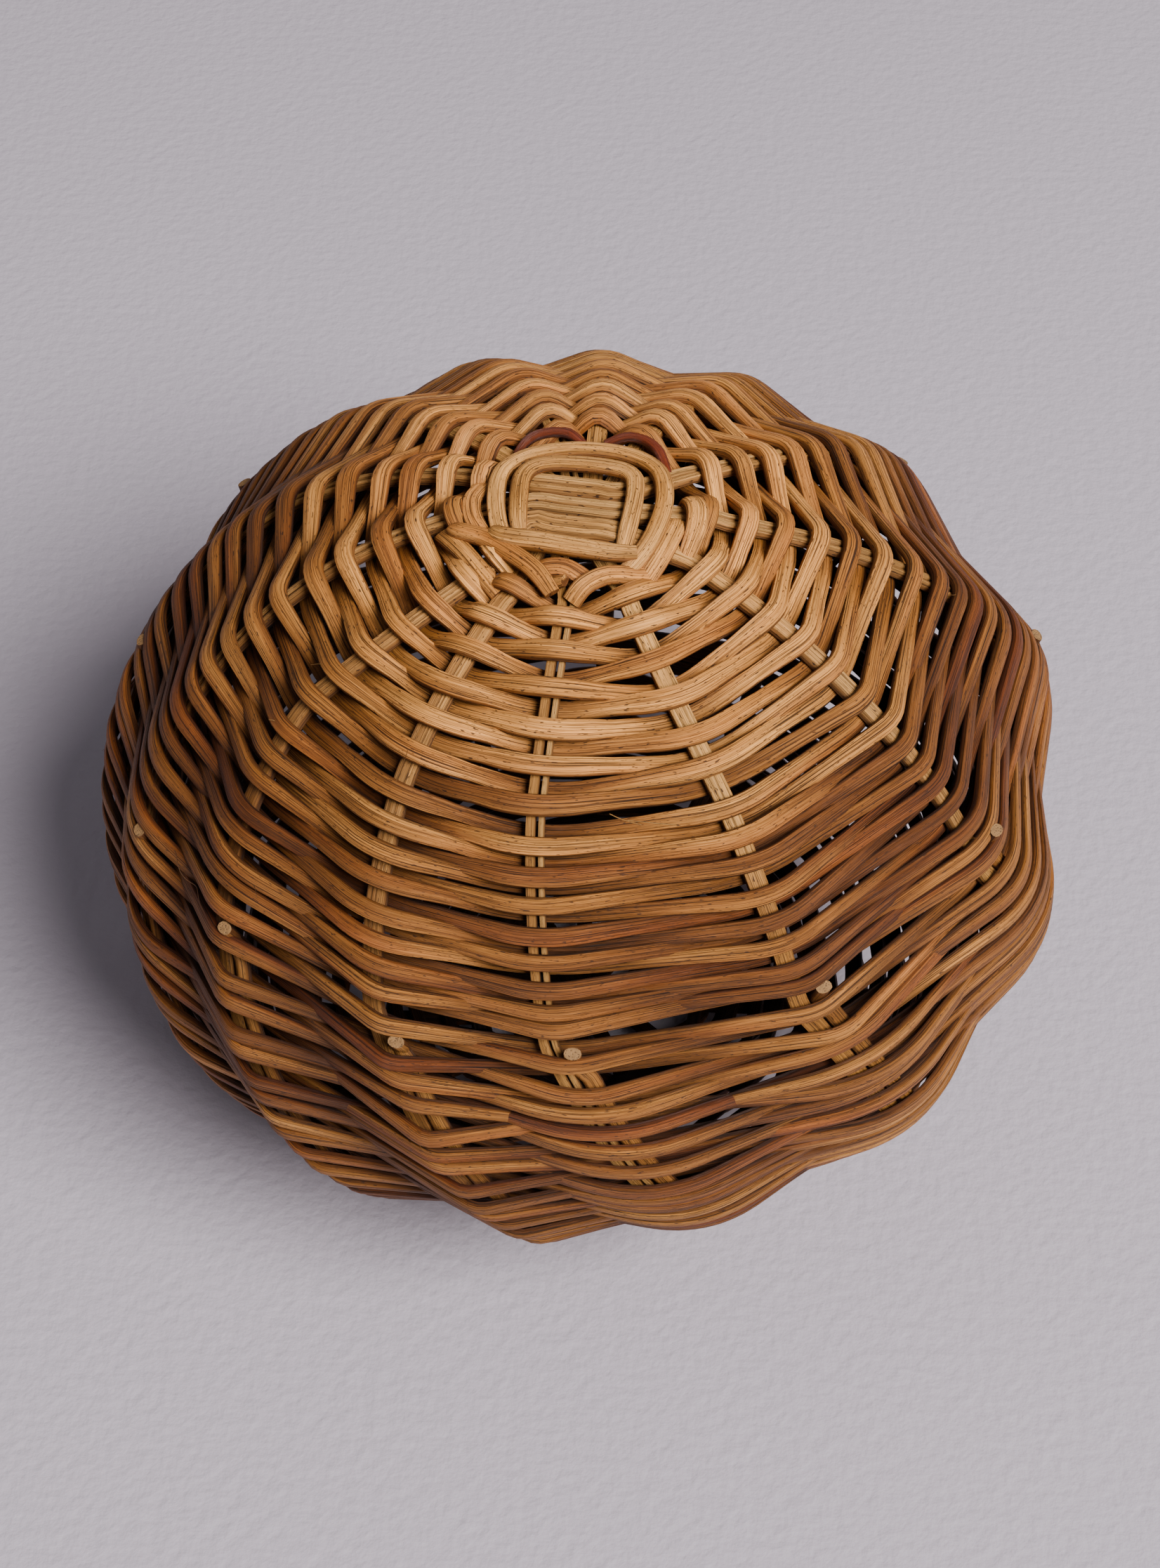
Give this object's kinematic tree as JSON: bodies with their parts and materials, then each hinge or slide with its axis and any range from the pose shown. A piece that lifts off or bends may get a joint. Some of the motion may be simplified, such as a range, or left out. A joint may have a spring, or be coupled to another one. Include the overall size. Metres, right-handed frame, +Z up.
{
  "type": "decorative sphere",
  "caption": "Hollow, slightly flattened ball hand-woven from natural rattan cane, with an open plain weave over radiating stakes and a small flat spot underneath.",
  "frame": {"origin": "on the resting plane, under the centre of the ball's bounding box", "axes": "+Z up through the two woven poles, block with the bound cross uppermost; -Y is the front, the side with the widest view of the upper stakes"},
  "size_m": [0.1964, 0.1976, 0.1582],
  "materials": {
    "stake_cane": "dry split cane, matte",
    "rod_cane": "dry round cane, matte",
    "weaver_cane": "honey-brown cane, low sheen",
    "wrap_cane": "smooth pale cane, low sheen"
  },
  "bodies": {
    "root": {"stake_along_1": "stake_cane", "stake_along_2": "stake_cane", "stake_along_3": "stake_cane", "stake_across_1": "stake_cane", "stake_across_2": "stake_cane", "stake_across_3": "stake_cane", "stake_across_4": "stake_cane", "rod_along_1": "rod_cane", "rod_along_2": "rod_cane", "rod_along_3": "rod_cane", "rod_across_1": "rod_cane", "rod_across_2": "rod_cane", "rod_across_3": "rod_cane", "rod_across_4": "rod_cane", "pole_wrap_inner": "wrap_cane", "pole_wrap_outer": "wrap_cane", "weaver_01": "weaver_cane", "weaver_02": "weaver_cane", "weaver_03": "weaver_cane", "weaver_04": "weaver_cane", "weaver_05": "weaver_cane", "weaver_06": "weaver_cane", "weaver_07": "weaver_cane", "weaver_08": "weaver_cane", "weaver_09": "weaver_cane", "weaver_10": "weaver_cane", "weaver_11": "weaver_cane", "weaver_12": "weaver_cane", "weaver_13": "weaver_cane", "weaver_14": "weaver_cane", "weaver_15": "weaver_cane", "weaver_16": "weaver_cane"}
  },
  "joints": []
}
